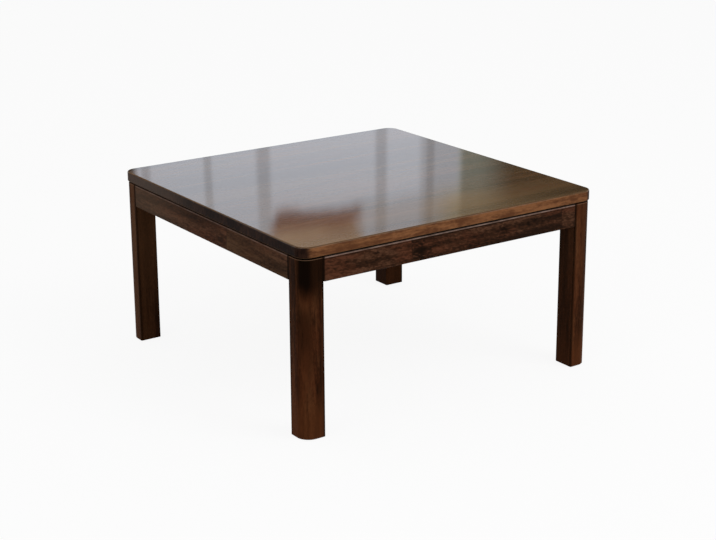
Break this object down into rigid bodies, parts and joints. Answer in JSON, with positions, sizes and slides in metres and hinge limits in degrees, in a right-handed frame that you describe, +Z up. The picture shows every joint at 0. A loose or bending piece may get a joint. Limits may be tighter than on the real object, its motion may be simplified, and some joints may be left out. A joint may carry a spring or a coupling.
{
  "type": "kotatsu table",
  "caption": "Low square wooden kotatsu: loose rounded-corner top on a bolted leg and apron frame, with a fan heater behind a wire guard underneath.",
  "frame": {"origin": "on the floor, under the middle of the table", "axes": "+Z up; +X towards the side with the heater's inlet and dial; -Y front. The tabletop's grain runs along X."},
  "size_m": [0.75, 0.75, 0.4],
  "materials": {
    "top_wood": "semi-gloss lacquer over walnut stain",
    "walnut_stained_wood": "satin lacquer over walnut stain",
    "rail_wood": "unfinished",
    "bumper_rubber": "matte",
    "glide_nylon": "matte",
    "zinc_steel": "zinc plated",
    "housing_steel": "galvanised sheet",
    "reflector_aluminium": "bright",
    "quartz": "clear",
    "heating_wire": "oxidised",
    "ceramic": "glazed ceramic",
    "terminal_brass": "plain",
    "fan_plastic": "moulded",
    "motor_steel": "plain",
    "guard_black": "black paint",
    "box_plastic": "moulded",
    "dial_plastic": "moulded",
    "pin_nickel": "nickel plated"
  },
  "bodies": {
    "frame": {"apron_back": "walnut_stained_wood", "apron_front": "walnut_stained_wood", "apron_left": "walnut_stained_wood", "apron_right": "walnut_stained_wood", "bolt_washers": "zinc_steel", "bumper_pads": "bumper_rubber", "ceramic_end_caps": "ceramic", "control_box": "box_plastic", "control_box_screws": "zinc_steel", "corner_plate_back_left": "zinc_steel", "corner_plate_back_right": "zinc_steel", "corner_plate_front_left": "zinc_steel", "corner_plate_front_right": "zinc_steel", "corner_plate_screws": "zinc_steel", "cross_rail_back": "rail_wood", "cross_rail_front": "rail_wood", "element_straps": "zinc_steel", "element_terminals": "terminal_brass", "fan_motor": "motor_steel", "foot_glide_back_left": "glide_nylon", "foot_glide_back_right": "glide_nylon", "foot_glide_front_left": "glide_nylon", "foot_glide_front_right": "glide_nylon", "fuse_clip": "zinc_steel", "guard_frame": "guard_black", "guard_grille": "guard_black", "guard_screws": "zinc_steel", "hanger_bolts": "zinc_steel", "heater_housing": "housing_steel", "heater_mount_screws": "zinc_steel", "heater_rail_left": "rail_wood", "heater_rail_right": "rail_wood", "heating_coil_back": "heating_wire", "heating_coil_front": "heating_wire", "inlet_pins": "pin_nickel", "inlet_shroud": "box_plastic", "leg_back_left": "walnut_stained_wood", "leg_back_right": "walnut_stained_wood", "leg_front_left": "walnut_stained_wood", "leg_front_right": "walnut_stained_wood", "motor_bracket": "zinc_steel", "motor_bracket_screws": "zinc_steel", "quartz_tube_back": "quartz", "quartz_tube_front": "quartz", "reflector": "reflector_aluminium", "strap_rivets": "zinc_steel", "temperature_control": "motor_steel", "thermal_fuse": "zinc_steel", "thermostat": "ceramic", "wing_nuts": "zinc_steel"},
    "tabletop": {"tabletop_board": "top_wood"},
    "fan": {"fan_rotor": "fan_plastic", "fan_shaft": "zinc_steel"},
    "dial": {"temperature_dial": "dial_plastic", "dial_shaft": "zinc_steel"}
  },
  "joints": [
    {"name": "tabletop_lift", "type": "slide", "parent": "frame", "child": "tabletop", "axis": [0, 0, 1], "range_m": [0, 0.12]},
    {"name": "fan_spin", "type": "hinge", "parent": "frame", "child": "fan", "pos_m": [0, 0, 0.335], "axis": [0, 0, 1], "continuous": true},
    {"name": "dial_turn", "type": "hinge", "parent": "frame", "child": "dial", "pos_m": [0.2296, 0.027, 0.3268], "axis": [1, 0, 0], "range_deg": [0, 270]}
  ]
}
